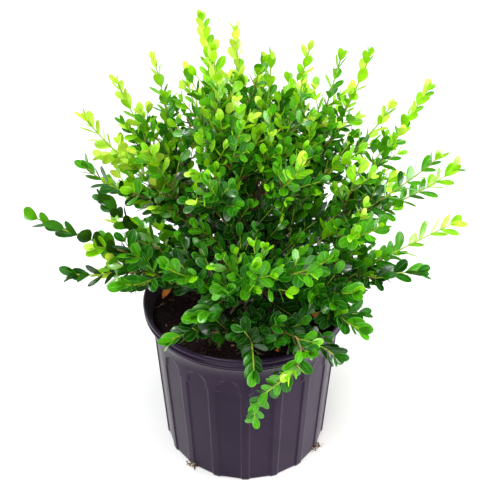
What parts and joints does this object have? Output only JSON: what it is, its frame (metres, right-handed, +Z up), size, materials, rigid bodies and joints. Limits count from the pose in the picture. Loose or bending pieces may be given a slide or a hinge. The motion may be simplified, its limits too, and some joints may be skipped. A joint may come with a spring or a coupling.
{
  "type": "potted boxwood shrub",
  "caption": "Small-leaved evergreen shrub, branching from a short root crown into leafy upright and arching shoots, planted in a tapered round nursery pot with a rolled lip",
  "frame": {"origin": "Centre of the pot's flat underside, where it stands on the ground", "axes": "+Z up along the pot's axis; -Y is the front, the side the picture shows; +X is to the right seen from the front"},
  "size_m": [0.4705, 0.3592, 0.5108],
  "materials": {
    "pot_plastic": "satin black plastic",
    "potting_soil": "moist bark-based potting mix",
    "bark": "tan-brown bark",
    "leaf_new": "lime-green new leaves",
    "leaf_old": "deep green older leaves"
  },
  "bodies": {
    "root": {"pot": "pot_plastic", "soil": "potting_soil", "root_crown": "bark", "bough_left_low": "bark", "bough_left_high": "bark", "bough_top_left": "bark", "bough_top_right": "bark", "bough_back_high": "bark", "bough_right_high": "bark", "bough_right_mid": "bark", "bough_right_low": "bark", "bough_front_low": "bark", "bough_front_mid": "bark", "bough_back_left": "bark", "bough_back_right": "bark", "leaves_left_long": "leaf_old", "leaves_left_bottom": "leaf_old", "leaves_left_shade": "leaf_old", "leaves_left_front_low": "leaf_old", "leaves_left_mid": "leaf_new", "leaves_left_bright": "leaf_new", "leaves_left_upper": "leaf_new", "leaves_left_tall": "leaf_new", "leaves_top_leader": "leaf_new", "leaves_top_second": "leaf_new", "leaves_front_high_left": "leaf_new", "leaves_top_third": "leaf_new", "leaves_top_fourth": "leaf_new", "leaves_top_sixth": "leaf_new", "leaves_front_high_right": "leaf_new", "leaves_top_fifth": "leaf_new", "leaves_top_seventh": "leaf_new", "leaves_back_crown": "leaf_new", "leaves_back_mid": "leaf_new", "leaves_right_tall": "leaf_new", "leaves_right_tall_outer": "leaf_new", "leaves_right_upper": "leaf_new", "leaves_right_long": "leaf_new", "leaves_right_first": "leaf_new", "leaves_right_short": "leaf_new", "leaves_right_second": "leaf_old", "leaves_right_bright": "leaf_old", "leaves_right_bottom": "leaf_old", "leaves_front_right_upper": "leaf_old", "leaves_front_right_lower": "leaf_old", "leaves_front_right": "leaf_old", "leaves_hanging": "leaf_old", "leaves_front_tip": "leaf_old", "leaves_front_left": "leaf_old", "leaves_front_left_mid": "leaf_new", "leaves_front_face": "leaf_new", "leaves_front_right_mid": "leaf_new", "leaves_front_bright": "leaf_old", "leaves_back_left_upper": "leaf_new", "leaves_back_left_long": "leaf_old", "leaves_back_left_low": "leaf_old", "leaves_back_right_upper": "leaf_new", "leaves_back_right_long": "leaf_old", "leaves_back_right_low": "leaf_old"}
  },
  "joints": []
}
